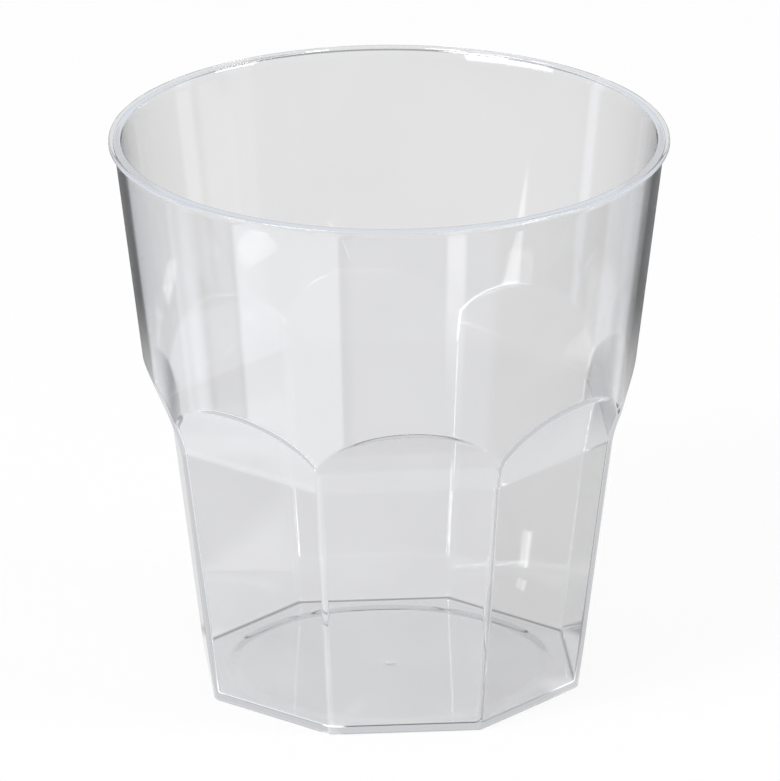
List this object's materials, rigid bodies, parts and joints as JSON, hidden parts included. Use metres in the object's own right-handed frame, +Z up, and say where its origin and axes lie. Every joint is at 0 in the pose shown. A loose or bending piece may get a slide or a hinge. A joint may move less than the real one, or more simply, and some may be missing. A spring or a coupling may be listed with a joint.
{
  "type": "plastic tumbler cup",
  "caption": "Clear disposable drinking tumbler with a round flared mouth, a thin lip and a faceted lower body with arched facet tops.",
  "frame": {"origin": "centre of the base, on the cup's axis, at the height of the table", "axes": "+Z up along the cup's axis, towards the mouth; +X square to one of the facets"},
  "size_m": [0.084, 0.084, 0.085],
  "materials": {
    "clear_plastic": "polished clear polystyrene, as moulded"
  },
  "bodies": {
    "root": {"tumbler": "clear_plastic"}
  },
  "joints": []
}
